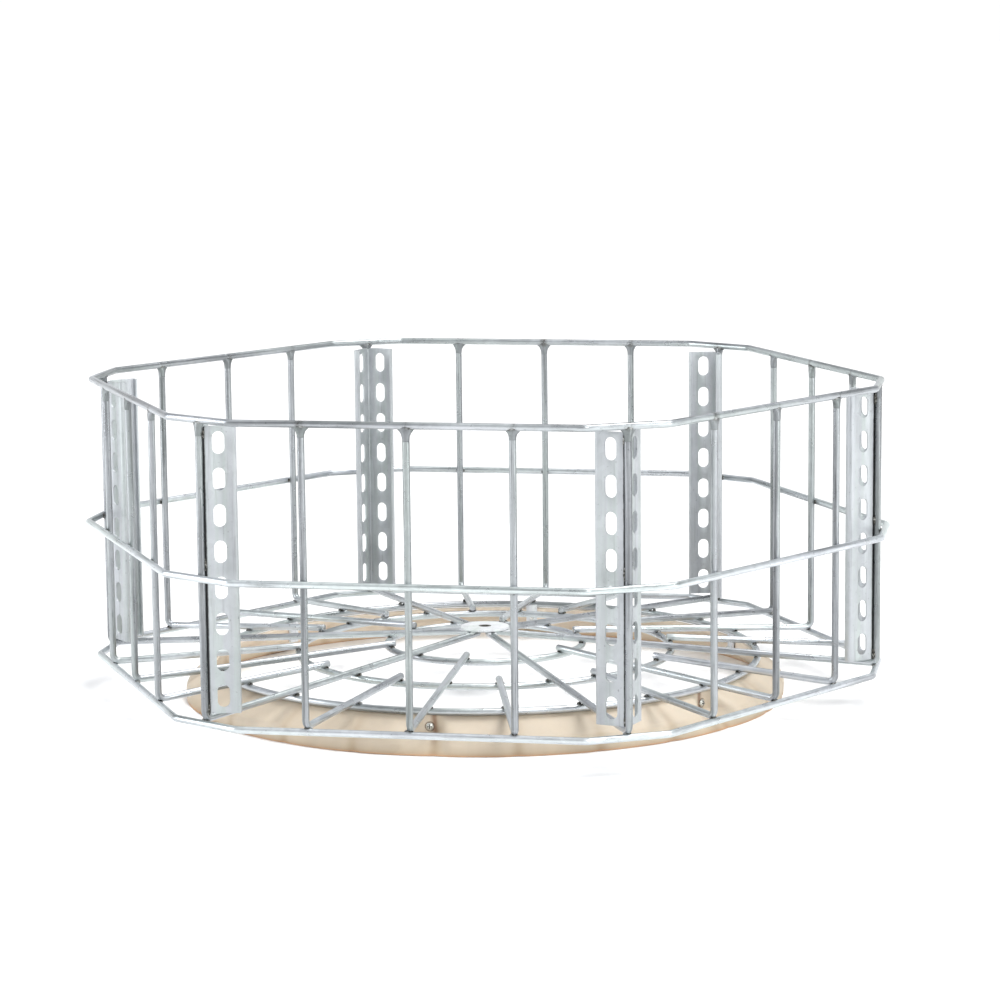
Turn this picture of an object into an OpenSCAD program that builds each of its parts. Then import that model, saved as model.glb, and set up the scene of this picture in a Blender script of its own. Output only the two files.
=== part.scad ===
// Welded wire guard ring of a trough feeder: vertical bars bent in to a sunk wire floor,
// three ring hoops, six slotted angle posts and a flared flexible skirt under the floor.
// Millimetres. Origin at the centre of the skirt's lower edge, Z up, corners on X.

/* [Wire] */
// Diameter of every bar and ring
wire_d = 8; // [5:0.5:12]
// Centreline radius of the bend at each bar's foot
foot_bend_r = 8; // [6:0.5:20]
// How far welded wires bite into each other
weld_bite = 0.25; // [0:0.05:0.5]
// How much thicker a wire is through a bend
bend_swell = 0.1; // [0.05:0.05:0.3]

/* [Outline] */
// Centre to the bars in the middle of a side
side_apothem = 430; // [380:1:480]
// Centre to the bars on the corners
corner_r = 469; // [420:1:520]
// Spacing of the three bars along a side
bar_pitch = 115; // [90:1:130]
// Top end of the bars
bar_top_z = 372.2; // [300:0.1:420]
// Centreline radius where a hoop turns at a corner
hoop_bend_r = 15; // [10:1:40]

/* [Hoops] */
// Height of the top hoop
top_hoop_z = 376; // [300:0.5:430]
// Height of the middle hoop
mid_hoop_z = 203; // [120:1:280]
// How far the middle hoop lies outside the bars
mid_hoop_out = 7.8; // [7:0.1:9]
// Height of the bottom hoop
low_hoop_z = 39.8; // [38:0.1:42]
// How far the bottom hoop lies inside the bars
low_hoop_in = 1; // [0:0.1:3]

/* [Floor] */
// Height of a floor bar where it leaves its foot bend
floor_edge_z = 45.5; // [44:0.1:48]
// Height the floor bars gain from the edge to the centre
floor_rise = 26.7; // [10:0.1:60]
// Radius of the outer floor ring
outer_ring_r = 327; // [300:1:340]
// Radius of the middle floor ring
middle_ring_r = 224; // [190:1:250]
// Radius of the inner floor ring
inner_ring_r = 117.5; // [90:0.5:140]
// How far a short floor bar runs past the ring that ends it
bar_overrun = 4; // [2:0.5:15]
// Where the long floor bars end under the hub plate
hub_bar_r = 12; // [10:0.5:20]
// Diameter of the hub plate
hub_d = 58; // [40:1:90]
// Thickness of the hub plate
hub_t = 3; // [2:0.5:6]
// Hole in the hub plate
hub_hole_d = 9; // [5:0.5:14]

/* [Posts] */
// Width of one flange of a slotted post
post_w = 39; // [30:0.5:45]
// Sheet thickness of a post
post_t = 2; // [1.5:0.1:3]
// Depth of the lip on a flange's free edge
post_lip = 8.5; // [6:0.5:12]
// Outer radius of a post's bends
post_bend_r = 4; // [2.5:0.5:6]
// Lower end of a post
post_z0 = 51; // [50:0.5:60]
// Spacing of the slots
slot_pitch = 40; // [30:0.5:50]
// Slots in each flange
slot_count = 8; // [6:1:8]
// Length of a slot
slot_l = 25; // [15:0.5:30]
// Width of a slot
slot_w = 13.5; // [8:0.5:15]
// Post end to the first slot's centre
slot_start = 19.5; // [15:0.5:25]
// Side of the notch in a post's top corner
notch = 7; // [4:0.5:10]

/* [Skirt] */
// Outer radius of the skirt's upper edge
skirt_top_r = 325; // [315:1:340]
// Outer radius of the skirt's lower edge
skirt_low_r = 359; // [340:1:380]
// Height of the skirt's upper edge
skirt_top_z = 38.5; // [30:0.5:39.5]
// Lean of the flare away from upright
flare_a = 60; // [45:1:68]
// Thickness of the skirt
skirt_t = 3; // [2:0.5:5]
// Radius of the bend between flare and upright edge
skirt_bend_r = 12; // [8:1:16]

/* [Skirt fixings] */
// Height of the screws
screw_z = 27; // [22:0.5:30]
// Diameter of a screw's head
screw_head_d = 9; // [7:0.5:11]
// Height of a screw's head
screw_head_h = 3; // [2:0.5:4]
// Diameter of a screw's shank
screw_d = 4.6; // [4:0.1:6]
// Length of a screw's shank
screw_l = 10; // [8:1:20]
// Radius at which a screw's head seats
screw_seat_r = 326.2; // [322:0.2:330]
// Width of a hanger tab
tab_w = 14; // [10:1:20]
// Height of a hanger tab's lower edge
tab_low_z = 19; // [14:0.5:24]
// Thickness of a hanger tab
tab_t = 3; // [2:0.5:4]

/* [Hidden] */
$fn = 96;
sides = 6;
step = 360 / sides;
wire_r = wire_d / 2;
bend_lap = 0.5;
side_bar_r = sqrt(side_apothem * side_apothem + bar_pitch * bar_pitch);
side_bar_a = atan(bar_pitch / side_apothem);
post_l = slot_start + (slot_count - 1) * slot_pitch + slot_start - 1;
post_set = post_bend_r * (sqrt(2) - 1);
post_apex_r = corner_r - wire_r + post_set + weld_bite;
seat_in = screw_seat_r - skirt_t;
tab_r = seat_in - tab_t;
knee_r = skirt_low_r - skirt_bend_r;
knee_z = skirt_top_z
    - (skirt_bend_r + (knee_r - skirt_top_r) * cos(flare_a)) / sin(flare_a);
dimple_floor_r = 7.5;
dimple_a = 25;
dimple_h = 50;
dimple_wall = skirt_t / cos(dimple_a);

// Height of a floor bar's centreline at radius r, for a bar whose upright stands at radius rb
function floor_z(r, rb) = floor_edge_z + floor_rise * (1 - r / rb);

// Distance of a hoop's edge line from the centre: even edges cut the corners
function edge_p(j, side_p, corner_p) = (j % 2 == 0) ? corner_p : side_p;

// Half length of the straight run of hoop edge j, measured between its bend centres
function edge_y(j, side_p, corner_p) =
    ((edge_p(j + 1, side_p, corner_p) - hoop_bend_r)
    - (edge_p(j, side_p, corner_p) - hoop_bend_r) * cos(30)) / sin(30);

// One bar: upright, foot bend and floor run in the plane through the axis
module bent_bar(rb, inner_r) {
    slope = atan(floor_rise / rb);
    knee = foot_bend_r * (1 + sin(slope));
    zc = floor_edge_z + tan(slope) * knee + foot_bend_r * cos(slope);
    run = (rb - knee - inner_r) / cos(slope);
    translate([rb, 0, zc - bend_lap])
        cylinder(d = wire_d, h = bar_top_z - zc + bend_lap);
    translate([rb - foot_bend_r, 0, zc])
        rotate([-90, 0, 0])
        rotate_extrude(angle = 90 + slope)
        translate([foot_bend_r, 0])
        circle(d = wire_d + bend_swell);
    translate([rb - knee, 0, zc - foot_bend_r * cos(slope)])
        rotate([0, slope - 90, 0])
        translate([0, 0, -bend_lap])
        cylinder(d = wire_d, h = run + bend_lap);
}

module corner_bar(k) {
    color("#c3c8c7")
    rotate([0, 0, k * step])
    bent_bar(corner_r, hub_bar_r);
}

module middle_bar(k) {
    color("#c3c8c7")
    rotate([0, 0, k * step + step / 2])
    bent_bar(side_apothem, inner_ring_r - bar_overrun);
}

module side_bar(k, s) {
    color("#c3c8c7")
    rotate([0, 0, k * step + step / 2 + s * side_bar_a])
    bent_bar(side_bar_r, middle_ring_r - bar_overrun);
}

// Twelve-edged hoop with small round bends
module hoop(side_p, corner_p, z) {
    color("#c9cecd")
    translate([0, 0, z])
    for (j = [0:11]) {
        p = edge_p(j, side_p, corner_p);
        y = edge_y(j, side_p, corner_p);
        rotate([0, 0, 30 * j]) {
            translate([p, -y - bend_lap, 0])
                rotate([-90, 0, 0])
                cylinder(d = wire_d, h = 2 * (y + bend_lap));
            translate([p - hoop_bend_r, y, 0])
                rotate_extrude(angle = 30)
                translate([hoop_bend_r, 0])
                circle(d = wire_d + bend_swell);
        }
    }
}

module floor_ring(r) {
    color("#bfc4c3")
    translate([0, 0, floor_z(r, side_apothem) - wire_d + weld_bite])
    rotate_extrude()
    translate([r, 0])
    circle(d = wire_d);
}

module top_hoop() {
    hoop(side_apothem, corner_r, top_hoop_z);
}

module middle_hoop() {
    hoop(side_apothem + mid_hoop_out, corner_r + mid_hoop_out, mid_hoop_z);
}

module bottom_hoop() {
    hoop(side_apothem - low_hoop_in, corner_r - low_hoop_in, low_hoop_z);
}

module floor_ring_outer() {
    floor_ring(outer_ring_r);
}

module floor_ring_middle() {
    floor_ring(middle_ring_r);
}

module floor_ring_inner() {
    floor_ring(inner_ring_r);
}

module hub_plate() {
    plate_z = floor_z(hub_bar_r, corner_r) + wire_r - weld_bite;
    color("#d2d5d4")
    translate([0, 0, plate_z])
    difference() {
        cylinder(d = hub_d, h = hub_t);
        translate([0, 0, -1]) cylinder(d = hub_hole_d, h = hub_t + 2);
    }
}

// A quarter ring of sheet at a bend, in the quadrant turned by a
module sheet_bend(a) {
    rotate([0, 0, a])
    intersection() {
        difference() {
            circle(r = post_bend_r);
            circle(r = post_bend_r - post_t);
        }
        square(post_bend_r + 1);
    }
}

// Lipped angle section with its outer corner at the origin and flanges along +X and +Y
module post_section() {
    far = post_w - post_bend_r;
    translate([post_bend_r, post_bend_r]) sheet_bend(180);
    translate([post_bend_r, 0]) square([far - post_bend_r, post_t]);
    translate([0, post_bend_r]) square([post_t, far - post_bend_r]);
    translate([far, post_bend_r]) sheet_bend(270);
    translate([post_bend_r, far]) sheet_bend(90);
    translate([post_w - post_t, post_bend_r]) square([post_t, post_lip - post_bend_r]);
    translate([post_bend_r, post_w - post_t]) square([post_lip - post_bend_r, post_t]);
}

// Round-ended slot cutter through a flange that lies along +X
module slot_cutter() {
    half = (slot_l - slot_w) / 2;
    rotate([90, 0, 0])
    translate([0, 0, -post_t - 1])
    linear_extrude(height = post_t + 3) {
        translate([0, half]) circle(d = slot_w);
        translate([0, -half]) circle(d = slot_w);
        square([slot_w, 2 * half], center = true);
    }
}

module post(k) {
    color("#d4d6d5")
    rotate([0, 0, k * step])
    translate([post_apex_r, 0, post_z0])
    rotate([0, 0, 135])
    difference() {
        linear_extrude(height = post_l) post_section();
        for (i = [0:slot_count - 1]) {
            translate([post_w / 2, 0, slot_start + i * slot_pitch]) slot_cutter();
            mirror([1, -1, 0])
                translate([post_w / 2, 0, slot_start + i * slot_pitch])
                slot_cutter();
        }
        translate([0, 0, post_l])
            rotate([0, 0, 45])
            rotate([0, 45, 0])
            cube([notch, 4 * notch, notch], center = true);
    }
}

// Hanger tab: a small plate welded to the outer floor ring, drilled for its screw
module hanger_tab(k) {
    tab_top = floor_z(outer_ring_r, side_apothem) - wire_d + weld_bite;
    color("#c7cbca")
    rotate([0, 0, k * step + step / 2])
    difference() {
        translate([tab_r, -tab_w / 2, tab_low_z]) cube([tab_t, tab_w, tab_top - tab_low_z]);
        translate([tab_r - 1, 0, screw_z])
            rotate([0, 90, 0])
            cylinder(d = screw_d, h = tab_t + 2);
    }
}

// Points of the skirt's outer face, drawn in by t, from its lower edge to its upper edge
function skirt_face(t) = concat(
    [[skirt_low_r - t, 0]],
    [for (i = [0:12]) let (a = flare_a * i / 12)
        [knee_r + (skirt_bend_r - t) * cos(a), knee_z + (skirt_bend_r - t) * sin(a)]],
    [[skirt_top_r - t / cos(flare_a), skirt_top_z]]);

// The same points in the other order
function turned(v) = [for (i = [len(v) - 1:-1:0]) v[i]];

module skirt_band() {
    rotate_extrude()
    polygon(concat(skirt_face(0), turned(skirt_face(skirt_t))));
}

// Solid that ends halfway through the skirt's thickness
module skirt_core() {
    rotate_extrude()
    polygon(concat([[250, 0]], skirt_face(skirt_t / 2), [[250, skirt_top_z]]));
}

// Cup that opens outward, with its floor at radius r and grown by g
module dimple(r, g) {
    translate([r, 0, screw_z])
    rotate([0, 90, 0])
    cylinder(r1 = dimple_floor_r + g, r2 = dimple_floor_r + g + dimple_h * tan(dimple_a),
        h = dimple_h);
}

// Flared strip with a dimple at each screw, relieved behind for the hanger tab
module skirt() {
    color("#e1cdb9")
    difference() {
        union() {
            skirt_band();
            intersection() {
                skirt_core();
                for (k = [0:sides - 1])
                    rotate([0, 0, k * step + step / 2])
                    dimple(seat_in, dimple_wall - skirt_t * tan(dimple_a));
            }
        }
        for (k = [0:sides - 1])
            rotate([0, 0, k * step + step / 2]) {
                dimple(screw_seat_r, 0);
                translate([tab_r - 4, -tab_w / 2 - 1, tab_low_z - 4])
                    cube([tab_t + 4, tab_w + 2, 30]);
                translate([tab_r, 0, screw_z])
                    rotate([0, 90, 0])
                    cylinder(d = screw_d + 0.6, h = 10);
            }
    }
}

module skirt_screws() {
    color("#b9bdbe")
    for (k = [0:sides - 1])
        rotate([0, 0, k * step + step / 2])
        translate([screw_seat_r, 0, screw_z])
        rotate([0, 90, 0]) {
            difference() {
                intersection() {
                    cylinder(d = screw_head_d, h = screw_head_h);
                    translate([0, 0, screw_head_h - 5.5]) sphere(r = 5.5);
                }
                translate([0, 0, screw_head_h]) cube([4.6, 1, 3], center = true);
                translate([0, 0, screw_head_h]) cube([1, 4.6, 3], center = true);
            }
            translate([0, 0, -screw_l]) cylinder(d = screw_d, h = screw_l + 0.5);
        }
}

corner_bar(0);  // corner_bar_a
corner_bar(1);  // corner_bar_b
corner_bar(2);  // corner_bar_c
corner_bar(3);  // corner_bar_d
corner_bar(4);  // corner_bar_e
corner_bar(5);  // corner_bar_f
middle_bar(0);  // middle_bar_a
middle_bar(1);  // middle_bar_b
middle_bar(2);  // middle_bar_c
middle_bar(3);  // middle_bar_d
middle_bar(4);  // middle_bar_e
middle_bar(5);  // middle_bar_f
side_bar(0, -1);  // side_bar_a1
side_bar(0, 1);  // side_bar_a2
side_bar(1, -1);  // side_bar_b1
side_bar(1, 1);  // side_bar_b2
side_bar(2, -1);  // side_bar_c1
side_bar(2, 1);  // side_bar_c2
side_bar(3, -1);  // side_bar_d1
side_bar(3, 1);  // side_bar_d2
side_bar(4, -1);  // side_bar_e1
side_bar(4, 1);  // side_bar_e2
side_bar(5, -1);  // side_bar_f1
side_bar(5, 1);  // side_bar_f2
top_hoop();
middle_hoop();
bottom_hoop();
floor_ring_outer();
floor_ring_middle();
floor_ring_inner();
hub_plate();
post(0);  // post_a
post(1);  // post_b
post(2);  // post_c
post(3);  // post_d
post(4);  // post_e
post(5);  // post_f
hanger_tab(0);  // hanger_tab_a
hanger_tab(1);  // hanger_tab_b
hanger_tab(2);  // hanger_tab_c
hanger_tab(3);  // hanger_tab_d
hanger_tab(4);  // hanger_tab_e
hanger_tab(5);  // hanger_tab_f
skirt();
skirt_screws();
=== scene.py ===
"""Looks for the welded wire guard: smooth wires, weld beads, punched posts and a pinched skirt."""

import math
import random

import bmesh
import bpy
from mathutils import Matrix, Vector, kdtree, noise


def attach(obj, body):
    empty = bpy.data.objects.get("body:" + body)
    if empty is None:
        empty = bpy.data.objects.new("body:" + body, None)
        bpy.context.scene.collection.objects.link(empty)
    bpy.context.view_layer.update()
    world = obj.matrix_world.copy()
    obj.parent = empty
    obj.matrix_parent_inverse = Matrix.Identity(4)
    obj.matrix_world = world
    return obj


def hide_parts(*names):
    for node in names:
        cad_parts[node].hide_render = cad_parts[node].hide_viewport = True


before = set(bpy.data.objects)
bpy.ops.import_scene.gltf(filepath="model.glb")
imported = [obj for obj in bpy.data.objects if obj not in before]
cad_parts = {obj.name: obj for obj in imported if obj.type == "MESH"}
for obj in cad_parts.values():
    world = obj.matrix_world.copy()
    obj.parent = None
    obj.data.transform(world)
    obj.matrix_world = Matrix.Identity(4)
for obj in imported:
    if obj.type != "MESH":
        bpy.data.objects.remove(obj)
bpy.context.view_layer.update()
MM = 0.001
LETTERS = "abcdef"
UP = Vector((0, 0, 1))

# Sizes in millimetres, the same as the solids'
WIRE_R = 4.0
FOOT_R = 8.0
SIDE_R = 430.0
CORNER_R = 469.0
BAR_PITCH = 115.0
BAR_TOP = 372.2
HOOP_BEND = 15.0
TOP_Z, MID_Z, LOW_Z = 376.0, 203.0, 39.8
MID_OUT, LOW_IN = 7.8, 1.0
EDGE_Z, RISE = 45.5, 26.7
RINGS = {"outer": 327.0, "middle": 224.0, "inner": 117.5}
OVERRUN = 4.0  # how far a bar's end reaches past its ring
HUB_BAR_R = 12.0
HUB_R, HUB_T, HUB_HOLE_R = 29.0, 3.0, 4.5
BITE = 0.25  # how far two welded pieces run into each other
SIDE_BAR_R = math.hypot(SIDE_R, BAR_PITCH)
SIDE_BAR_A = math.degrees(math.atan2(BAR_PITCH, SIDE_R))
SCREW_Z, SEAT_R = 27.0, 326.2
SKIRT_TOP_R, SKIRT_LOW_R, SKIRT_TOP_Z = 325.0, 359.0, 38.5
SKIRT_T, SKIRT_BEND, FLARE_A = 3.0, 12.0, 60.0
POST_Z0, POST_L = 51.0, 318.0

# Looks that the solids don't have
WIRE_SEGS, RING_SEGS = 20, 18
# Painted shade: how much darker a wire's colour gets where it runs upright
UPRIGHT_PAINTED_SHADE = 0.36
SKIRT_LIFT = 1.5  # closes the gap between the skirt and the ring above it
PINCH_HALF, PINCH_FLARE = 6.0, 31.8  # half the upright stretch at a screw, and the flare below it
DENT_PITCH, DENT_SHIFT = 15, 1.6  # degrees
# how far beside a screw the painted shade of its fold lies
CREASE_OFF = 4.9
# radius of the painted shade in each screw's cross recess
SCREW_RECESS_R = 2.6


def polar(r, a, z):
    """A point in metres from a radius and height in millimetres and an angle in degrees."""
    t = math.radians(a)
    return Vector((r * math.cos(t), r * math.sin(t), z)) * MM


def direction(a):
    t = math.radians(a)
    return Vector((math.cos(t), math.sin(t), 0))


def floor_z(r, rb):
    """Height of a floor bar's centreline, for a bar whose upright stands at radius rb."""
    return EDGE_Z + RISE * (1 - r / rb)


# ---------------------------------------------------------------- node helpers


class Nodes:
    """Short way to build a node tree."""

    def __init__(self, tree):
        self.tree = tree
        tree.nodes.clear()

    def add(self, kind, **settings):
        n = self.tree.nodes.new(kind)
        for key, value in settings.items():
            if hasattr(n, key):
                setattr(n, key, value)
            else:
                n.inputs[key.replace("_", " ")].default_value = value
        return n

    def link(self, a, b):
        self.tree.links.new(a, b)


def ramp(n, fac, stops):
    r = n.add("ShaderNodeValToRGB")
    while len(r.color_ramp.elements) < len(stops):
        r.color_ramp.elements.new(0.5)
    for e, (at, colour) in zip(r.color_ramp.elements, stops):
        e.position = at
        e.color = (*colour, 1) if len(colour) == 3 else colour
    n.link(fac, r.inputs["Fac"])
    return r.outputs["Color"]


def grey(v):
    return (v, v, v)


def mix(n, fac, a, b, blend="MIX"):
    m = n.add("ShaderNodeMix", data_type="RGBA", blend_type=blend)
    if isinstance(fac, float):
        m.inputs["Factor"].default_value = fac
    else:
        n.link(fac, m.inputs["Factor"])
    for value, name in ((a, 6), (b, 7)):
        if isinstance(value, tuple):
            m.inputs[name].default_value = (*value, 1)
        else:
            n.link(value, m.inputs[name])
    return m.outputs[2]


def times(n, fac, base, fac_in, stops):
    """Multiplies a colour by a ramp over fac_in."""
    return mix(n, fac, base, ramp(n, fac_in, stops), "MULTIPLY")


def attribute(n, name):
    return n.add("ShaderNodeAttribute", attribute_name=name).outputs["Fac"]


def math_node(n, op, a, b=0.0):
    m = n.add("ShaderNodeMath", operation=op)
    for i, value in enumerate((a, b)):
        if isinstance(value, (int, float)):
            m.inputs[i].default_value = value
        else:
            n.link(value, m.inputs[i])
    return m.outputs[0]


def hypot_node(n, a, b):
    squares = math_node(n, "ADD", math_node(n, "MULTIPLY", a, a), math_node(n, "MULTIPLY", b, b))
    return math_node(n, "SQRT", squares)


def noise_tex(n, coord, scale, detail=3.0, rough=0.5, stretch=None):
    if stretch:
        mp = n.add("ShaderNodeMapping")
        mp.inputs["Scale"].default_value = stretch
        n.link(coord, mp.inputs["Vector"])
        coord = mp.outputs["Vector"]
    t = n.add("ShaderNodeTexNoise", Scale=scale, Detail=detail, Roughness=rough)
    n.link(coord, t.inputs["Vector"])
    return t.outputs["Fac"]


def bump(n, height, strength, distance, normal=None):
    b = n.add("ShaderNodeBump")
    b.inputs["Strength"].default_value = strength
    b.inputs["Distance"].default_value = distance
    n.link(height, b.inputs["Height"])
    if normal:
        n.link(normal, b.inputs["Normal"])
    return b.outputs["Normal"]


def folded(n, coord, centre_deg, at_r, at_z=None):
    """Distance, in metres, from the nearest of six axes: upright ones at radius at_r, or with
    at_z radial ones at that height. Also gives its two legs: the signed distance round, and the
    distance out from at_r or up from at_z."""
    sep = n.add("ShaderNodeSeparateXYZ")
    n.link(coord, sep.inputs[0])
    x, y, z = sep.outputs
    r = hypot_node(n, x, y)
    a = math_node(n, "ADD", math_node(n, "ARCTAN2", y, x), math.radians(390 - centre_deg))
    a = math_node(n, "SUBTRACT", math_node(n, "FLOORED_MODULO", a, math.radians(60)), math.radians(30))
    side = math_node(n, "MULTIPLY", math_node(n, "SINE", a), r)
    if at_z is None:
        other = math_node(n, "SUBTRACT", math_node(n, "MULTIPLY", math_node(n, "COSINE", a), r), at_r)
    else:
        other = math_node(n, "SUBTRACT", z, at_z)
    return hypot_node(n, side, other), side, other


def new_material(name):
    m = bpy.data.materials.new(name)
    m.use_nodes = True
    n = Nodes(m.node_tree)
    out = n.add("ShaderNodeOutputMaterial")
    sh = n.add("ShaderNodeBsdfPrincipled")
    n.link(sh.outputs[0], out.inputs[0])
    coord = n.add("ShaderNodeTexCoord").outputs["Object"]
    return m, n, sh, coord


def groove_painted_shade(n, coord, base):
    """Paints shade into the narrow groove between a post's outer face and its corner bar, where the colour
    goes near black.
    """
    near, side, other = folded(n, coord, 0, CORNER_R * MM)
    near = math_node(n, "ADD", near, math_node(n, "MULTIPLY", noise_tex(n, coord, 120, 3, 0.6), 0.0012))
    behind = math_node(n, "ADD", other, math_node(n, "ABSOLUTE", side))
    inner = math_node(n, "LESS_THAN", behind, -0.0043)
    near = math_node(n, "ADD", near, math_node(n, "MULTIPLY", inner, 0.02))
    # painted shade: near black along the groove
    groove_shade_mask = ramp(n, math_node(n, "MULTIPLY", near, 100), [(0.66, grey(1.0)), (0.78, grey(0.0))])
    return mix(n, groove_shade_mask, base, (0.02, 0.02, 0.022))


def zinc(name, tint_low, tint_high, metallic, rough, spangle, along_wire, groove=False):
    """Galvanised steel: cloudy zinc with faint crystals and drawn lines, darker where burnt by a
    weld; the same darkening is painted shade in the screws' cross recesses and round the hub's hole.
    Wires carry their own lengthwise coordinates in the attribute run, and in the attribute shade a
    tone per piece times painted shade that darkens their upright runs. Posts get painted shade in
    the groove beside their corner bars."""
    m, n, sh, coord = new_material(name)
    if along_wire:
        run = n.add("ShaderNodeAttribute", attribute_name="run").outputs["Vector"]
    else:
        mp = n.add("ShaderNodeMapping")
        mp.inputs["Scale"].default_value = (1, 1, 0.04)
        n.link(coord, mp.inputs["Vector"])
        run = mp.outputs["Vector"]
    cloud = noise_tex(n, coord, 14, 5, 0.6)
    base = ramp(n, cloud, [(0.3, tint_low), (0.7, tint_high)])
    vor = n.add("ShaderNodeTexVoronoi", Scale=spangle, Randomness=1.0)
    n.link(coord, vor.inputs["Vector"])
    sep = n.add("ShaderNodeSeparateColor")
    n.link(vor.outputs["Color"], sep.inputs[0])
    crystal = sep.outputs[0]
    base = times(n, 0.5, base, crystal, [(0.0, grey(0.84)), (1.0, grey(1.0))])
    if along_wire:
        band_scale, band_dark, line_scale, line_dark = 150, 0.52, 520, 0.6
    else:
        band_scale, band_dark, line_scale, line_dark = 60, 0.86, 300, 0.84
    band = noise_tex(n, run, band_scale, 3, 0.5)
    base = times(n, 1.0, base, band, [(0.34, grey(band_dark)), (0.52, grey(1.0))])
    line = noise_tex(n, run, line_scale, 3, 0.6)
    base = times(n, 1.0, base, line, [(0.33, grey(line_dark)), (0.43, grey(1.0))])
    green, blue, violet = (0.92, 1.0, 0.96), (0.95, 0.98, 1.0), (0.94, 0.95, 1.0)
    base = times(n, 0.6, base, noise_tex(n, run, 90, 2, 0.5), [(0.38, green), (0.5, blue), (0.62, violet)])
    speck = noise_tex(n, coord, 260, 2, 0.6)
    base = times(n, 1.0, base, speck, [(0.22, grey(0.6)), (0.33, grey(1.0))])
    # Burnt zinc round the welds; through the same attribute, painted shade in the screws' cross recesses and
    # round the hub's hole
    uneven = math_node(n, "ADD", noise_tex(n, coord, 420, 3, 0.7), 0.35)
    burn_and_painted_shade = math_node(n, "MULTIPLY", attribute(n, "weld"), uneven)
    burn_and_painted_shade = ramp(n, burn_and_painted_shade, [(0.42, grey(0.0)), (0.8, grey(1.0))])
    base = mix(n, burn_and_painted_shade, base, (0.075, 0.07, 0.06))
    # painted shade in the groove beside each corner bar
    if groove:
        base = groove_painted_shade(n, coord, base)
    # the piece's tone times painted shade that darkens the upright runs
    if along_wire:
        base = mix(n, 1.0, base, attribute(n, "shade"), "MULTIPLY")
    n.link(base, sh.inputs["Base Color"])
    sh.inputs["Metallic"].default_value = metallic
    dull = math_node(n, "ADD", math_node(n, "MULTIPLY", cloud, 0.6), math_node(n, "MULTIPLY", crystal, 0.4))
    n.link(ramp(n, dull, [(0.2, grey(rough - 0.08)), (0.8, grey(rough + 0.1))]), sh.inputs["Roughness"])
    lumps = noise_tex(n, coord, 90, 4, 0.6)
    normal = bump(n, lumps, 0.3, 0.0006)
    n.link(bump(n, line, 0.3, 0.0003, normal), sh.inputs["Normal"])
    return m


def weld_metal(name, colours, stops, scale):
    """Uneven weld metal, mottled from the first of three colours to the last."""
    m, n, sh, coord = new_material(name)
    blotch = noise_tex(n, coord, scale, 4, 0.65)
    n.link(ramp(n, blotch, list(zip(stops, colours))), sh.inputs["Base Color"])
    sh.inputs["Metallic"].default_value = 0.7
    n.link(ramp(n, blotch, [(0.3, grey(0.6)), (0.7, grey(0.28))]), sh.inputs["Roughness"])
    n.link(bump(n, noise_tex(n, coord, 520, 4, 0.7), 0.6, 0.0008), sh.inputs["Normal"])
    return m


def skirt_sheet():
    """Beige flexible sheet with faint upright streaks, darker and orange-brown towards its lower edge.
    Painted shade darkens the folds beside the screws, the dents and a thin ring round each screw, and
    painted light makes the inner face paler."""
    m, n, sh, coord = new_material("skirt_sheet")
    broad = noise_tex(n, coord, 5, 4, 0.55)
    base = ramp(n, broad, [(0.3, (0.52, 0.44, 0.34)), (0.7, (0.60, 0.515, 0.405))])
    streak = noise_tex(n, coord, 60, 4, 0.6, (1, 1, 0.15))
    base = times(n, 0.6, base, streak, [(0.3, grey(0.86)), (0.7, grey(1.0))])
    # painted shade along the folds beside the screws
    base = mix(n, math_node(n, "MULTIPLY", attribute(n, "crease_painted_shade"), 0.85), base, (0.22, 0.12, 0.07))
    # painted light: the inner face paler, standing in for light bounced up from the floor
    base = mix(n, math_node(n, "MULTIPLY", attribute(n, "inside"), 0.85), base, (0.84, 0.73, 0.60))
    # painted shade in the dents
    base = mix(n, attribute(n, "dent"), base, (0.74, 0.68, 0.60), "MULTIPLY")
    sep = n.add("ShaderNodeSeparateXYZ")
    n.link(coord, sep.inputs[0])
    low = math_node(n, "MULTIPLY", sep.outputs["Z"], 80)
    base = times(n, 1.0, base, low, [(0.0, (0.74, 0.66, 0.57)), (0.5, (0.90, 0.88, 0.84)), (1.0, grey(1.0))])
    base = mix(n, math_node(n, "MULTIPLY", attribute(n, "edge"), 0.7), base, (0.52, 0.27, 0.13))
    # Painted shadow: a thin dark ring round each screw head
    ring = folded(n, coord, 30, SEAT_R * MM, SCREW_Z * MM)[0]
    ring = ramp(n, math_node(n, "MULTIPLY", ring, 100), [(0.50, grey(1.0)), (0.62, grey(0.0))])
    base = mix(n, math_node(n, "MULTIPLY", ring, 0.8), base, (0.10, 0.06, 0.04))
    n.link(base, sh.inputs["Base Color"])
    n.link(ramp(n, streak, [(0.3, grey(0.46)), (0.7, grey(0.62))]), sh.inputs["Roughness"])
    normal = bump(n, broad, 0.2, 0.004)
    n.link(bump(n, noise_tex(n, coord, 700, 2, 0.6), 0.12, 0.0002, normal), sh.inputs["Normal"])
    sh.inputs["Subsurface Weight"].default_value = 0.06
    sh.inputs["Subsurface Radius"].default_value = (0.004, 0.002, 0.001)
    return m


def floor_paper():
    m, n, sh, coord = new_material("floor_paper")
    tone = ramp(n, noise_tex(n, coord, 1.5, 2, 0.5), [(0.3, grey(0.93)), (0.7, grey(0.96))])
    n.link(tone, sh.inputs["Base Color"])
    sh.inputs["Roughness"].default_value = 0.85
    sh.inputs["Specular IOR Level"].default_value = 0.1
    return m


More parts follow.
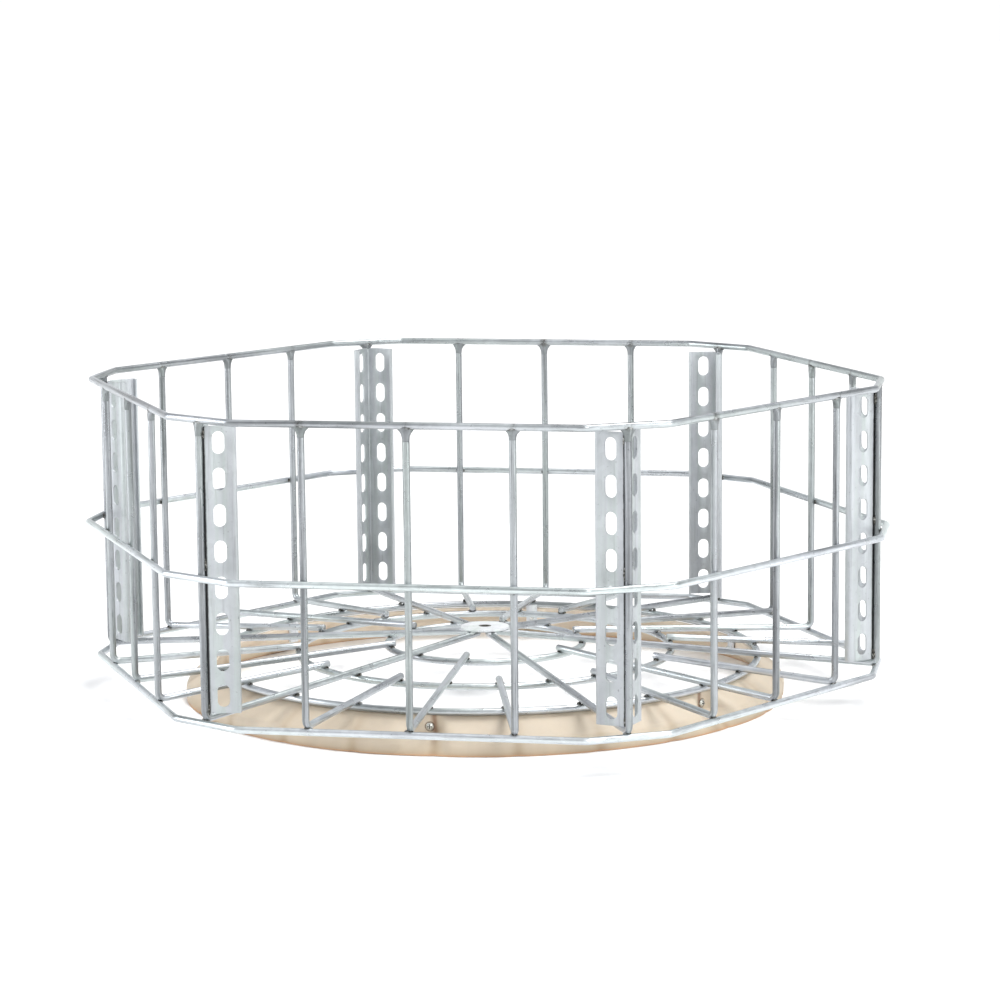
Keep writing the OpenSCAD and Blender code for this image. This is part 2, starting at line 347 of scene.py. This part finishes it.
WIRE = zinc("wire_zinc", (0.52, 0.545, 0.56), (0.68, 0.705, 0.72), 0.8, 0.32, 160, True)
POST = zinc("post_zinc", (0.47, 0.49, 0.50), (0.57, 0.59, 0.60), 0.45, 0.46, 110, False, True)
WEB = zinc("web_zinc", (0.19, 0.20, 0.205), (0.32, 0.335, 0.34), 0.8, 0.34, 160, False)
PLATE = zinc("plate_zinc", (0.72, 0.74, 0.74), (0.82, 0.83, 0.83), 0.25, 0.5, 130, False)
SCREW = zinc("screw_zinc_plate", (0.70, 0.69, 0.62), (0.82, 0.81, 0.76), 0.6, 0.3, 300, False)
BRIGHT_METAL = ((0.05, 0.048, 0.044), (0.22, 0.225, 0.22), (0.46, 0.475, 0.47))
BURNT_METAL = ((0.012, 0.012, 0.011), (0.12, 0.115, 0.10), (0.50, 0.51, 0.50))
WELD = weld_metal("weld_bright", BRIGHT_METAL, (0.36, 0.5, 0.7), 190)
BURNT = weld_metal("weld_burnt", BURNT_METAL, (0.42, 0.54, 0.68), 330)
SHEET = skirt_sheet()

# ---------------------------------------------------------------- mesh helpers


def add_mesh(name, verts, faces, material, nodes=(), smooth_angle=None):
    """Links a mesh, gives it its finish and hangs it on the one body."""
    me = bpy.data.meshes.new(name)
    me.from_pydata([tuple(v) for v in verts], [], faces)
    me.validate()
    ob = bpy.data.objects.new(name, me)
    bpy.context.scene.collection.objects.link(ob)
    finish_piece(ob, material, nodes, smooth_angle)
    return ob


def finish_piece(ob, material, nodes=(), smooth_angle=None):
    ob.data.materials.clear()
    ob.data.materials.append(material)
    ob.data.polygons.foreach_set("use_smooth", [True] * len(ob.data.polygons))
    if smooth_angle:
        ob.data.set_sharp_from_angle(angle=math.radians(smooth_angle))
    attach(ob, "root")
    if nodes:
        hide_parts(*nodes)


def tube_rings(path, radius, segs, closed=False):
    """Vertices and faces of a round tube along a path of points, with parallel-carried rings."""
    count = len(path)
    tangents = []
    for i in range(count):
        if closed:
            t = path[(i + 1) % count] - path[i - 1]
        else:
            t = path[min(i + 1, count - 1)] - path[max(i - 1, 0)]
        tangents.append(t.normalized())
    side = tangents[0].orthogonal().normalized()
    if abs(tangents[0].z) < 0.9:
        side = UP
    verts, faces = [], []
    for p, t in zip(path, tangents):
        side = (side - t * side.dot(t)).normalized()
        other = t.cross(side)
        for j in range(segs):
            a = 2 * math.pi * j / segs
            verts.append(p + side * (radius * math.cos(a)) + other * (radius * math.sin(a)))
    last = count if closed else count - 1
    for i in range(last):
        a0, b0 = i * segs, ((i + 1) % count) * segs
        for j in range(segs):
            k = (j + 1) % segs
            faces.append((a0 + j, a0 + k, b0 + k, b0 + j))
    if not closed:
        faces.append(tuple(reversed(range(segs))))
        faces.append(tuple(range((count - 1) * segs, count * segs)))
    return verts, faces


def with_round_ends(path, radius):
    """The path with two short steps at each end, and the ring radii that chamfer its ends."""
    ends = []
    for a, b in ((path[0], path[1]), (path[-1], path[-2])):
        ends.append((b - a).normalized())
    rim = 0.12 * radius
    out = [path[0], path[0] + ends[0] * rim] + path[1:-1] + [path[-1] + ends[1] * rim, path[-1]]
    radii = [0.92 * radius] + [radius] * (len(out) - 2) + [0.92 * radius]
    return out, radii


def bar_tube(path, segs, seed):
    """Vertices and faces of a bar with chamfered ends and a slightly uneven skin."""
    path, radii = with_round_ends(path, WIRE_R * MM)
    verts, faces = tube_rings(path, 1.0, segs)
    for i, (p, r) in enumerate(zip(path, radii)):
        for j in range(segs):
            k = i * segs + j
            off = verts[k] - p
            wob = 1 + 0.012 * noise.noise(p * 70 + off * 0.6 + Vector((seed, 0, 0)))
            verts[k] = p + off * (r * min(wob, 1.0))
    return verts, faces


# Where zinc is burnt: (centre, reach, heat)
WELD_POINTS = []


def paint_run(ob, path, segs, seed, tone=1.0):
    """Gives each vertex of a tube its place round and along the wire, squeezed lengthwise, and a
    colour factor: the piece's tone times painted shade, darker on the uprights than on the flat runs."""
    values, s = [], 0.0
    shift = (seed % 97) * 0.013
    for i, p in enumerate(path):
        s += (p - path[i - 1]).length if i else 0.0
        for j in range(segs):
            a = 2 * math.pi * j / segs
            values += [WIRE_R * MM * math.cos(a) + shift, WIRE_R * MM * math.sin(a), 0.03 * s]
    at = ob.data.attributes.new("run", "FLOAT_VECTOR", "POINT")
    at.data.foreach_set("vector", values)
    shades = []
    for i, p in enumerate(path):
        t = (path[min(i + 1, len(path) - 1)] - path[max(i - 1, 0)]).normalized()
        # painted shade: the steeper the run, the darker the colour
        shades += [tone * (1 - UPRIGHT_PAINTED_SHADE * t.z * t.z)] * segs
    ob.data.attributes.new("shade", "FLOAT", "POINT").data.foreach_set("value", shades)


def paint_welds(ob):
    """Marks how near each vertex is to a weld, for the burnt zinc around it."""
    tree = kdtree.KDTree(len(WELD_POINTS))
    for i, point in enumerate(WELD_POINTS):
        tree.insert(point[0], i)
    tree.balance()
    at = ob.data.attributes.new("weld", "FLOAT", "POINT")
    values = []
    for v in ob.data.vertices:
        _, i, d = tree.find(v.co)
        _, reach, heat = WELD_POINTS[i]
        values.append(heat * math.exp(-((d / reach) ** 2)))
    at.data.foreach_set("value", values)


# ---------------------------------------------------------------- bars


def bar_path(rb, a, inner_r, seed):
    """Centreline of one bar from its top end, down, round the foot bend and along the floor."""
    rng = random.Random(seed)
    slope = math.atan(RISE / rb)
    knee = FOOT_R * (1 + math.sin(slope))
    zc = EDGE_Z + math.tan(slope) * knee + FOOT_R * math.cos(slope)
    along = direction(a + 90)
    out = direction(a)
    bow = (rng.uniform(-0.5, 0.5) * MM, rng.uniform(-0.35, 0.35) * MM)
    pts = []
    steps = 26
    for i in range(steps):
        t = i / steps
        bend = math.sin(math.pi * t) ** 2
        p = polar(rb, a, BAR_TOP + (zc - BAR_TOP) * t)
        pts.append(p + along * (bow[0] * bend) + out * (bow[1] * bend))
    turns = 12
    for i in range(turns + 1):
        u = (math.pi / 2 + slope) * i / turns
        pts.append(polar(rb - FOOT_R + FOOT_R * math.cos(u), a, zc - FOOT_R * math.sin(u)))
    start = rb - knee
    sag = rng.uniform(-0.3, 0.1) * MM
    runs = max(6, int((start - inner_r) / 14))
    for i in range(1, runs + 1):
        t = i / runs
        r = start + (inner_r - start) * t
        p = polar(r, a, floor_z(r, rb))
        p.z += sag * math.sin(math.pi * t)
        pts.append(p)
    return pts


BARS = []
for k in range(6):
    BARS.append((f"corner_bar_{LETTERS[k]}", CORNER_R, 60 * k, HUB_BAR_R, 60 * k))
    BARS.append((f"middle_bar_{LETTERS[k]}", SIDE_R, 60 * k + 30, RINGS["inner"] - OVERRUN, 60 * k + 30))
    for s, tag in ((-1, 1), (1, 2)):
        a = 60 * k + 30 + s * SIDE_BAR_A
        BARS.append((f"side_bar_{LETTERS[k]}{tag}", SIDE_BAR_R, a, RINGS["middle"] - OVERRUN, 60 * k + 30))

# Welds: (kind, centre, direction along the hoop or ring, outward direction)
WELDS = []


def note_weld(kind, p, along, out, reach):
    """Notes a weld and, in millimetres, how far round it the zinc is burnt."""
    WELDS.append((kind, p, along, out))
    heat = random.Random(700 + len(WELD_POINTS)).uniform(0.6, 1.1)
    WELD_POINTS.append((p, reach * MM, heat))


for name, rb, a, inner_r, face_a in BARS:
    along, out = direction(face_a + 90), direction(face_a)
    note_weld("tee", polar(rb, a, TOP_Z), along, out, 9)
    note_weld("cross", polar(rb, a, MID_Z) + out * (WIRE_R * MM * 0.97), along, out, 6)
    bend_centre = polar(rb - FOOT_R, a, EDGE_Z + FOOT_R + 0.5)
    hoop = polar(rb, a, LOW_Z) - out * (LOW_IN * MM)
    down = (hoop - bend_centre).normalized()
    note_weld("foot", bend_centre + down * ((FOOT_R + WIRE_R) * MM), along, down, 6)
    for ring_name, ring_r in RINGS.items():
        if ring_r > inner_r:
            ring_z = floor_z(ring_r, SIDE_R) - 2 * WIRE_R + BITE
            p = polar(ring_r, a, (ring_z + floor_z(ring_r, rb)) / 2)
            note_weld("cross_flat", p, direction(a + 90), UP, 6)

# Each post is tacked to its corner bar near both ends and above the middle hoop
for k in range(6):
    for z in (POST_Z0 + 6, POST_Z0 + POST_L - 9, MID_Z + 14):
        for s in (-1, 1):
            side = direction(60 * k + 90) * s
            p = polar(CORNER_R - WIRE_R + 0.6, 60 * k, z) + side * (2.9 * MM)
            note_weld("post", p, UP, (direction(60 * k) + side).normalized(), 7)

for name, rb, a, inner_r, face_a in BARS:
    seed = sum(ord(c) * (i + 3) for i, c in enumerate(name))
    path = bar_path(rb, a, inner_r, seed)
    verts, faces = bar_tube(path, WIRE_SEGS, seed)
    ob = add_mesh("wire_" + name, verts, faces, WIRE, (name,), smooth_angle=50)
    paint_run(ob, with_round_ends(path, WIRE_R * MM)[0], WIRE_SEGS, seed)
    paint_welds(ob)

# ---------------------------------------------------------------- hoops and rings


def hoop_path(side_p, corner_p, z):
    """Closed centreline of a twelve-edged hoop with small round bends."""
    pts = []
    c30, s30 = math.cos(math.radians(30)), 0.5
    for j in range(12):
        p = corner_p if j % 2 == 0 else side_p
        q = side_p if j % 2 == 0 else corner_p
        y = ((q - HOOP_BEND) - (p - HOOP_BEND) * c30) / s30
        n, t = direction(30 * j), direction(30 * j + 90)
        count = max(6, int(2 * y / 9))
        for i in range(count):
            pts.append((n * p + t * (-y + 2 * y * i / count)) * MM + UP * (z * MM))
        centre = n * (p - HOOP_BEND) + t * y
        for i in range(6):
            pts.append((centre + direction(30 * j + 30 * i / 6) * HOOP_BEND) * MM + UP * (z * MM))
    return pts


# Name, distance from the axis to the two kinds of edge, height, and how bright the zinc is
HOOPS = (
    ("top_hoop", SIDE_R, CORNER_R, TOP_Z, 0.9),
    ("middle_hoop", SIDE_R + MID_OUT, CORNER_R + MID_OUT, MID_Z, 1.15),
    ("bottom_hoop", SIDE_R - LOW_IN, CORNER_R - LOW_IN, LOW_Z, 1.1),
)
for name, side_p, corner_p, z, tone in HOOPS:
    path = hoop_path(side_p, corner_p, z)
    verts, faces = tube_rings(path, WIRE_R * MM, WIRE_SEGS, closed=True)
    ob = add_mesh("wire_" + name, verts, faces, WIRE, (name,))
    paint_run(ob, path, WIRE_SEGS, int(z), tone)
    paint_welds(ob)

for ring_name, ring_r in RINGS.items():
    z = floor_z(ring_r, SIDE_R) - 2 * WIRE_R + BITE
    count = int(ring_r * 0.7)
    path = [polar(ring_r, 360 * i / count, z) for i in range(count)]
    verts, faces = tube_rings(path, WIRE_R * MM, RING_SEGS, closed=True)
    node = "floor_ring_" + ring_name
    ob = add_mesh("wire_" + node, verts, faces, WIRE, (node,))
    paint_run(ob, path, RING_SEGS, count)
    paint_welds(ob)

# ---------------------------------------------------------------- welds


def ball(subdivisions):
    """Vertices and faces of a unit ball."""
    bm = bmesh.new()
    bmesh.ops.create_icosphere(bm, subdivisions=subdivisions, radius=1.0)
    verts = [v.co.copy() for v in bm.verts]
    faces = [tuple(v.index for v in f.verts) for f in bm.faces]
    bm.free()
    return verts, faces


BALL = ball(3)


def lump(verts, faces, centre, axes, radii, seed, rough=0.22):
    """Adds one uneven bead: an ellipsoid on three axes with noise on it."""
    base = len(verts)
    for v in BALL[0]:
        d = 1 + rough * noise.noise(v * 1.7 + Vector((seed * 1.3, seed * 0.7, 0)))
        d += 0.5 * rough * noise.noise(v * 4.5 + Vector((0, seed, seed)))
        p = centre.copy()
        for axis, r, c in zip(axes, radii, v):
            p += axis * (r * c * d)
        verts.append(p)
    faces.extend(tuple(base + i for i in f) for f in BALL[1])


def tee_web(verts, faces, centre, along, out, seed):
    """Adds the web that flares from a bar's top end out along the hoop."""
    rings, segs = 12, 24
    thick = 1.01 * WIRE_R
    base = len(verts)
    rng = random.Random(seed)
    lean = rng.uniform(-1.0, 1.0)
    left, right = rng.uniform(3.4, 6.2), rng.uniform(3.4, 6.2)
    deep = rng.uniform(13, 18)
    for i in range(rings + 1):
        t = i / rings
        z = -deep + (deep - 1.5) * t
        flare = max(0.0, (z + deep) / (deep - 3.5)) ** 2.6
        across = thick + 0.3 * math.sin(math.pi * min(1.0, t * 1.05))
        for j in range(segs):
            a = 2 * math.pi * j / segs
            c = math.cos(a)
            half = thick + (right if c > 0 else left) * min(flare, 1.3)
            wob = 1 + 0.10 * t * noise.noise(Vector((c * 2 + seed, math.sin(a) * 2, z * 0.35)))
            x = (half * c * wob + lean * t * t) * MM
            y = across * math.sin(a) * (1 - 0.35 * abs(c) * min(flare, 1.0)) * wob * MM
            verts.append(centre + along * x + out * y + UP * (z * MM))
    for i in range(rings):
        for j in range(segs):
            k = (j + 1) % segs
            a0 = base + i * segs
            faces.append((a0 + j, a0 + k, a0 + segs + k, a0 + segs + j))
    faces.append(tuple(base + j for j in reversed(range(segs))))
    faces.append(tuple(base + rings * segs + j for j in range(segs)))


GROUPS = {
    "tee": "weld_webs",
    "cross": "weld_middle",
    "foot": "weld_low",
    "cross_flat": "weld_floor",
    "post": "weld_post",
}
beads = {g: ([], []) for g in [*GROUPS.values(), "weld_top", "weld_nuggets"]}
for i, (kind, p, along, out) in enumerate(WELDS):
    rng = random.Random(900 + i)
    verts, faces = beads[GROUPS[kind]]
    axes = (along, out, along.cross(out).normalized())
    if kind == "tee":
        tee_web(verts, faces, p, along, out, 17 * i + 3)
        at = p + along * (rng.uniform(-2.5, 2.5) * MM) - UP * (1.9 * MM)
        size = rng.uniform(0.6, 1.15)
        radii = (6.5 * size * MM, 4.15 * MM, 3.0 * size * MM)
        lump(*beads["weld_top"], at, axes, radii, i, 0.2)
    elif kind == "post":
        radii = (rng.uniform(4.5, 8) * MM, 1.9 * MM, 1.7 * MM)
        lump(verts, faces, p, axes, radii, i, 0.35)
    else:
        tight = 0.55 if kind == "foot" else 1.0
        for s in (-1, 1):
            off = along * (s * tight * rng.uniform(2.2, 3.4) * MM)
            radii = (rng.uniform(1.7, 2.4) * MM, rng.uniform(1.5, 2.1) * MM, rng.uniform(2.1, 3.0) * MM)
            lump(verts, faces, p + off, axes, radii, 2 * i + s, 0.3)
        s = rng.choice((-1, 1))
        off = along * (s * rng.uniform(3.2, 4.4) * MM) + out * (rng.uniform(-0.8, 0.4) * MM)
        radii = (rng.uniform(1.6, 2.6) * MM, rng.uniform(1.2, 1.8) * MM, rng.uniform(1.8, 2.6) * MM)
        lump(*beads["weld_nuggets"], p + off, axes, radii, 5 * i, 0.35)
METALS = {"weld_webs": WEB, "weld_top": WELD, "weld_nuggets": WELD}
for group, (verts, faces) in beads.items():
    paint_welds(add_mesh(group, verts, faces, METALS.get(group, BURNT)))

# ---------------------------------------------------------------- posts, tabs, screws


def copy_of(node, width, segments, material):
    """A copy of a CAD node with bevels width wide stands for it."""
    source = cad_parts[node]
    me = source.data.copy()
    bm = bmesh.new()
    bm.from_mesh(me)
    bmesh.ops.remove_doubles(bm, verts=bm.verts, dist=0.02 * MM)
    bmesh.ops.dissolve_limit(bm, angle_limit=math.radians(1.0), verts=bm.verts, edges=bm.edges)
    bm.to_mesh(me)
    bm.free()
    ob = bpy.data.objects.new("made_" + node, me)
    bpy.context.scene.collection.objects.link(ob)
    mod = ob.modifiers.new("rounded", "BEVEL")
    mod.width = width * MM
    mod.segments = segments
    mod.limit_method = "ANGLE"
    mod.angle_limit = math.radians(50)
    bpy.context.view_layer.objects.active = ob
    ob.select_set(True)
    bpy.ops.object.modifier_apply(modifier=mod.name)
    ob.select_set(False)
    finish_piece(ob, material, (node,), smooth_angle=32)
    return ob


for c in LETTERS:
    paint_welds(copy_of("post_" + c, 0.35, 2, POST))
    paint_welds(copy_of("hanger_tab_" + c, 0.4, 2, PLATE))
screws = copy_of("skirt_screws", 0.12, 1, SCREW)

# Painted shade: the cross recess of each screw is darkened through the same attribute that marks burnt zinc
recess_painted_shade = []
for v in screws.data.vertices:
    a = math.atan2(v.co.y, v.co.x)
    off = (a - math.radians(30)) % math.radians(60)
    off = min(off, math.radians(60) - off)
    r = math.hypot(v.co.x, v.co.y)
    aside = math.hypot(r * math.sin(off), v.co.z - SCREW_Z * MM)
    in_head = (SEAT_R + 0.8) * MM < r * math.cos(off) < (SEAT_R + 2.55) * MM
    recess_painted_shade.append(2.0 if in_head and aside < SCREW_RECESS_R * MM else 0.0)
screws.data.attributes.new("weld", "FLOAT", "POINT").data.foreach_set("value", recess_painted_shade)

# ---------------------------------------------------------------- hub


def lathe(profile, segs):
    """Closed solid of revolution from (radius, height) points in millimetres that form a loop."""
    verts, faces = [], []
    for i in range(segs):
        for r, z in profile:
            verts.append(polar(r, 360 * i / segs, z))
    m = len(profile)
    for i in range(segs):
        a0, b0 = i * m, ((i + 1) % segs) * m
        for j in range(m):
            k = (j + 1) % m
            faces.append((a0 + j, b0 + j, b0 + k, a0 + k))
    return verts, faces


hub_z = floor_z(HUB_BAR_R, CORNER_R) + WIRE_R - BITE
hub_top = hub_z + HUB_T
profile = [
    (HUB_HOLE_R + 0.4, hub_z),
    (HUB_R - 0.6, hub_z),
    (HUB_R, hub_z + 0.6),
    (HUB_R, hub_top - 0.7),
    (HUB_R - 0.25, hub_top - 0.25),
    (HUB_R - 0.8, hub_top),
    (20, hub_top - 0.05),
    (11, hub_top - 0.1),
    (8.5, hub_top - 0.1),
    (7, hub_top - 0.1),
    (HUB_HOLE_R + 0.5, hub_top),
    (HUB_HOLE_R, hub_top - 0.5),
    (HUB_HOLE_R, hub_z + 0.4),
]
verts, faces = lathe(profile, 72)
hub = add_mesh("hub", verts, faces, PLATE, ("hub_plate",), smooth_angle=35)
# Painted shade round the hub's hole, darkening the plate a few millimetres past its edge
hole_rim_painted_shade = [1.6 * math.exp(-((max(0.0, math.hypot(v[0], v[1]) / MM - 5.5) / 2.2) ** 2)) for v in verts]
hub.data.attributes.new("weld", "FLOAT", "POINT").data.foreach_set("value", hole_rim_painted_shade)
verts, faces = [], []
for k in range(6):
    z = floor_z(HUB_R - 3, CORNER_R) + WIRE_R
    p = polar(HUB_R - 2.5, 60 * k, z)
    axes = (direction(60 * k + 90), direction(60 * k), UP)
    for s in (-1, 1):
        at = p + axes[0] * (s * 3.1 * MM) - UP * (1.4 * MM)
        lump(verts, faces, at, axes, (2.4 * MM, 4.4 * MM, 1.5 * MM), 40 + 2 * k + s, 0.3)
add_mesh("weld_hub", verts, faces, PLATE)

# ---------------------------------------------------------------- skirt

KNEE_R = SKIRT_LOW_R - SKIRT_BEND
FLARE = math.radians(FLARE_A)
KNEE_Z = SKIRT_TOP_Z - (SKIRT_BEND + (KNEE_R - SKIRT_TOP_R) * math.cos(FLARE)) / math.sin(FLARE)


def skirt_profile(count):
    """Outer face from the upper to the lower edge, as (radius, height), evenly spaced."""
    pts = [(SKIRT_TOP_R, SKIRT_TOP_Z + SKIRT_LIFT)]
    for i in range(13):
        u = FLARE * (1 - i / 12)
        pts.append((KNEE_R + SKIRT_BEND * math.cos(u), KNEE_Z + SKIRT_BEND * math.sin(u)))
    pts.append((SKIRT_LOW_R, 0.0))
    lengths = [0.0]
    for p, q in zip(pts, pts[1:]):
        lengths.append(lengths[-1] + math.dist(p, q))
    out = []
    for i in range(count + 1):
        want = lengths[-1] * i / count
        j = max(k for k in range(len(pts) - 1) if lengths[k] <= want + 1e-9)
        t = (want - lengths[j]) / (lengths[j + 1] - lengths[j])
        out.append(tuple(a + (b - a) * t for a, b in zip(pts[j], pts[j + 1])))
    return out


def pinch_radius(z):
    """Outer radius where a screw pulls the strip in: upright past the screw, then flaring."""
    bend_z = SCREW_Z - PINCH_HALF
    if z > bend_z:
        return SEAT_R
    return SEAT_R + PINCH_FLARE * ((bend_z - z) / bend_z) ** 0.8


def skirt_point(a, r, z, grow):
    """Pulls the strip in at each screw, dents it softly at each floor bar and waves its lower edge.
    Returns the point, how much painted shade falls on the fold beside a screw there, and how deep the dent."""
    near = (a - 30) % 60
    near = near - 60 if near > 30 else near
    arc = math.radians(near) * r
    drop = max(0.0, 1 - z / SKIRT_TOP_Z)
    right = 9 + 16 * drop
    left = 12 + 20 * drop
    w = math.exp(-((max(0.0, abs(arc) - 5) / (right if arc > 0 else left)) ** 2))
    step = math.radians((a - DENT_SHIFT + DENT_PITCH / 2) % DENT_PITCH - DENT_PITCH / 2) * r
    dent = math.exp(-((step / 6.5) ** 2)) * (0.4 + 0.6 * drop)
    wave = 0.5 * math.sin(math.radians(a) * 12 + 0.6) + 0.5 * math.sin(math.radians(a) * 5 + 1.9)
    r_new = r + (pinch_radius(z) - r) * w - (1.2 + wave) * drop ** 2 * 0.6 - 0.9 * dent * drop
    lift = (0.4 + 0.2 * math.sin(math.radians(a) * 7 + 0.4) + 0.4 * dent) * drop ** 3
    # Painted shade along the fold beside each screw, fading towards the lower edge
    turned = -1 if 300 <= a % 360 or a % 360 < 120 else 1
    aside = abs(arc * turned - CREASE_OFF - 3.5 * drop)
    dark = math.exp(-((aside / (3.3 + 1.5 * drop)) ** 3))
    crease_painted_shade = dark * (1.0 - 0.85 * min(1.0, max(0.0, drop - 0.4) / 0.4))
    return polar(r_new + grow, a, z + lift * (1 if z < 10 else 0.0)), crease_painted_shade, dent


def skirt_strip(name, a0, a1, steps, grow, closed, nodes):
    """Adds the strip between two angles, grow millimetres further out than the skirt's own face."""
    rows = skirt_profile(26)
    normals = []
    for i, (r, z) in enumerate(rows):
        p, q = rows[max(i - 1, 0)], rows[min(i + 1, len(rows) - 1)]
        d = math.dist(p, q)
        normals.append(((p[1] - q[1]) / d, (q[0] - p[0]) / d))
    loop = [(r, z, nr, nz, 0.0) for (r, z), (nr, nz) in zip(rows, normals)]
    loop += [(r, z, nr, nz, SKIRT_T) for (r, z), (nr, nz) in reversed(list(zip(rows, normals)))]
    verts, crease_painted_shades, dents, inner_face_painted_light, edges, faces = [], [], [], [], [], []
    for i in range(steps if closed else steps + 1):
        a = a0 + (a1 - a0) * i / steps
        for r, z, nr, nz, inside in loop:
            outer, crease_painted_shade, dent = skirt_point(a, r, z, grow)
            p = outer - direction(a) * (inside * max(nr, 0.5) * MM) - UP * (inside * nz * MM * 0.7)
            p.z = max(p.z, 0.0)
            verts.append(p)
            # painted shade of the fold, fainter on the inner face
            crease_painted_shades.append(crease_painted_shade if inside == 0 else 0.3 * crease_painted_shade)
            # how much painted shade each dent gets
            dents.append(0.8 * dent)
            # marks the inner face for its painted light
            inner_face_painted_light.append(1.0 if inside else 0.0)
            edges.append(math.exp(-((z / 1.6) ** 2)))
    m = len(loop)
    for i in range(steps):
        b0 = ((i + 1) % steps if closed else i + 1) * m
        for j in range(m):
            k = (j + 1) % m
            faces.append((i * m + j, i * m + k, b0 + k, b0 + j))
    if not closed:
        faces.append(tuple(range(m)))
        faces.append(tuple(reversed(range(steps * m, (steps + 1) * m))))
    ob = add_mesh(name, verts, faces, SHEET, nodes, smooth_angle=50)
    for key, values in (("crease_painted_shade", crease_painted_shades), ("dent", dents), ("inside", inner_face_painted_light), ("edge", edges)):
        ob.data.attributes.new(key, "FLOAT", "POINT").data.foreach_set("value", values)


skirt_strip("skirt_strip", 0, 360, 900, 0.0, True, ("skirt",))
skirt_strip("skirt_lap", 75, 82, 24, SKIRT_T * 0.55, False, ())

# ---------------------------------------------------------------- stage, light, camera


def stage_floor():
    me = bpy.data.meshes.new("floor")
    e = 60.0
    me.from_pydata([(-e, -e, 0), (e, -e, 0), (e, e, 0), (-e, e, 0)], [], [(0, 1, 2, 3)])
    ob = bpy.data.objects.new("floor", me)
    bpy.context.scene.collection.objects.link(ob)
    me.materials.append(floor_paper())


stage_floor()


def area_light(name, at, look, size, power, colour=(1, 1, 1)):
    data = bpy.data.lights.new(name, "AREA")
    data.shape = "RECTANGLE"
    data.size, data.size_y = size
    data.energy = power
    data.color = colour
    ob = bpy.data.objects.new(name, data)
    bpy.context.scene.collection.objects.link(ob)
    ob.location = at
    ob.rotation_euler = (Vector(look) - Vector(at)).to_track_quat("-Z", "Y").to_euler()
    ob.visible_camera = False


def sun(name, towards, power, spread, colour=(1, 1, 1)):
    data = bpy.data.lights.new(name, "SUN")
    data.energy = power
    data.angle = math.radians(spread)
    data.color = colour
    ob = bpy.data.objects.new(name, data)
    bpy.context.scene.collection.objects.link(ob)
    ob.rotation_euler = Vector(towards).to_track_quat("-Z", "Y").to_euler()


sun("ceiling", (-0.3, -0.2, -1), 2.05, 34, (1.0, 0.99, 0.97))
area_light("key", (1.7, -3.0, 2.4), (0, 0, 0.2), (1.0, 1.4), 45)
area_light("strip_left", (-2.3, -0.9, 0.9), (0, 0, 0.2), (0.4, 1.8), 22, (0.96, 0.98, 1.0))
area_light("strip_right", (2.4, -1.2, 0.9), (0, 0, 0.2), (0.4, 1.8), 18, (0.97, 1.0, 0.98))

world = bpy.data.worlds.new("studio")
bpy.context.scene.world = world
world.use_nodes = True
n = Nodes(world.node_tree)
out = n.add("ShaderNodeOutputWorld")
bg = n.add("ShaderNodeBackground", Strength=1.0)
coord = n.add("ShaderNodeTexCoord").outputs["Generated"]
sep = n.add("ShaderNodeSeparateXYZ")
n.link(coord, sep.inputs[0])
# White round the horizon, a grey band above it for the wires to reflect, and paler overhead
SKY = [
    (0.0, grey(1.03)),
    (0.24, grey(1.0)),
    (0.42, (0.42, 0.43, 0.46)),
    (0.75, (0.50, 0.51, 0.54)),
    (1.0, grey(0.9)),
]
n.link(ramp(n, sep.outputs["Z"], SKY), bg.inputs["Color"])
n.link(bg.outputs[0], out.inputs[0])
bpy.context.scene.view_settings.view_transform = "Standard"


def add_camera():
    heading, pitch, roll = math.radians(10.679), math.radians(8.696), -0.00945
    level = math.cos(pitch)
    forward = Vector((-math.sin(heading) * level, math.cos(heading) * level, -math.sin(pitch)))
    right = Vector((math.cos(heading), math.sin(heading), 0))
    up = right.cross(forward)
    right2 = right * math.cos(roll) + up * math.sin(roll)
    up2 = up * math.cos(roll) - right * math.sin(roll)
    cam = bpy.data.cameras.new("camera")
    cam.sensor_width = 36
    cam.lens = 116.43
    cam.clip_end = 200
    ob = bpy.data.objects.new("camera", cam)
    bpy.context.scene.collection.objects.link(ob)
    m = Matrix((right2, up2, -forward)).transposed().to_4x4()
    m.translation = Vector((0.7275, -3.7524, 0.8154))
    ob.matrix_world = m
    bpy.context.scene.camera = ob


add_camera()
